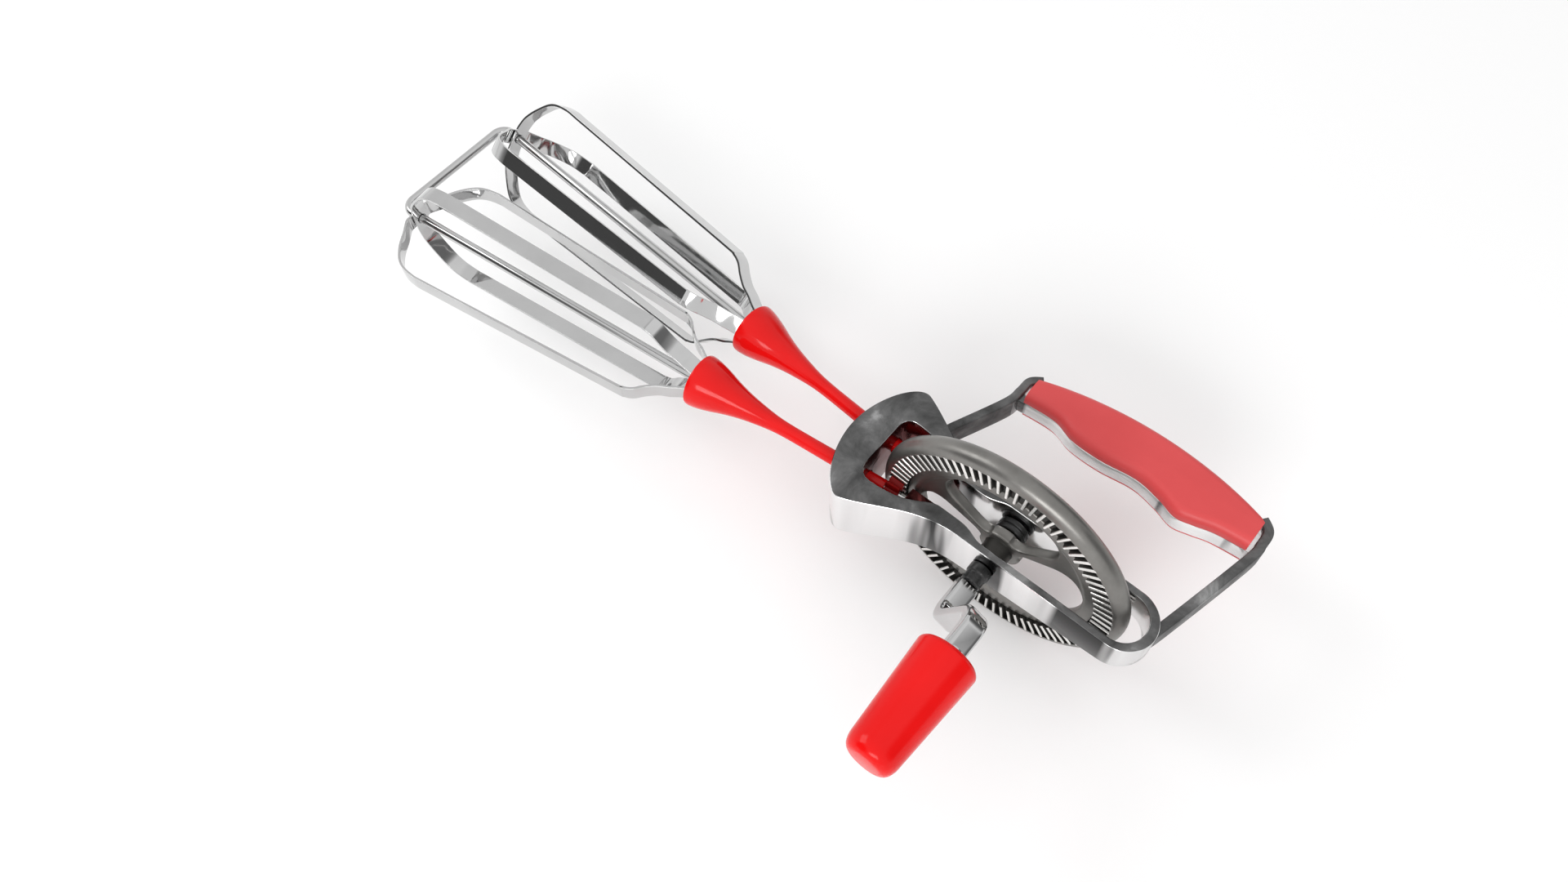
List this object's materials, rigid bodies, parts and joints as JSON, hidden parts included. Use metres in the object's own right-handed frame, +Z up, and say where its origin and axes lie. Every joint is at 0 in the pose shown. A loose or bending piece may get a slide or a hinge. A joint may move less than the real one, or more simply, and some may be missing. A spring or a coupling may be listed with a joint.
{
  "type": "hand-cranked egg beater",
  "caption": "Hand-cranked rotary egg beater with a side D handle, a crank-turned crown wheel and counter-turning strip-blade beaters on a U-shaped rod.",
  "frame": {"origin": "under the middle of the whole beater's box, level with its lowest point, the wheel rim", "axes": "+X along the beaters towards their tips, +Y towards the crank knob, +Z up, square to the plane of the frame casting and D handle"},
  "size_m": [0.3126, 0.1454, 0.088],
  "materials": {
    "cast_alloy": "mottled cast top, mirror-polished edges",
    "wheel_grey": "satin",
    "dark_steel": "semi-gloss black",
    "chrome": "polished",
    "sleeve_red": "high gloss",
    "pinion_red": "semi-gloss",
    "knob_red": "high gloss",
    "grip_coral": "satin"
  },
  "bodies": {
    "frame": {"frame_casting": "cast_alloy", "handle_bow": "cast_alloy", "grip_scale_upper": "grip_coral", "grip_scale_lower": "grip_coral", "beater_rod": "chrome"},
    "drive": {"drive_wheel": "wheel_grey", "hub_collar": "dark_steel", "axle_pin": "dark_steel", "crank_socket": "dark_steel", "crank_rod": "chrome"},
    "knob": {"crank_knob": "knob_red"},
    "beater_left": {"sleeve_left": "sleeve_red", "pinion_left": "pinion_red", "blade_outer_left": "chrome", "blade_inner_left": "chrome"},
    "beater_right": {"sleeve_right": "sleeve_red", "pinion_right": "pinion_red", "blade_outer_right": "chrome", "blade_inner_right": "chrome"}
  },
  "joints": [
    {"name": "drive_spin", "type": "hinge", "parent": "frame", "child": "drive", "pos_m": [-0.09342, -0.01265, 0.044], "axis": [0, 1, 0], "continuous": true},
    {"name": "knob_spin", "type": "hinge", "parent": "drive", "child": "knob", "pos_m": [-0.10572, 0, 0.0683], "axis": [0, 1, 0], "continuous": true},
    {"name": "beater_left_spin", "type": "hinge", "parent": "frame", "child": "beater_left", "pos_m": [-0.09342, -0.00929, 0.044], "axis": [0.996, 0.0888, 0], "continuous": true},
    {"name": "beater_right_spin", "type": "hinge", "parent": "frame", "child": "beater_right", "pos_m": [-0.09342, -0.01601, 0.044], "axis": [0.996, -0.0888, 0], "continuous": true}
  ],
  "couplings": [
    {"joint": "beater_left_spin", "follows": "drive_spin", "ratio": 10},
    {"joint": "beater_right_spin", "follows": "drive_spin", "ratio": -10}
  ]
}
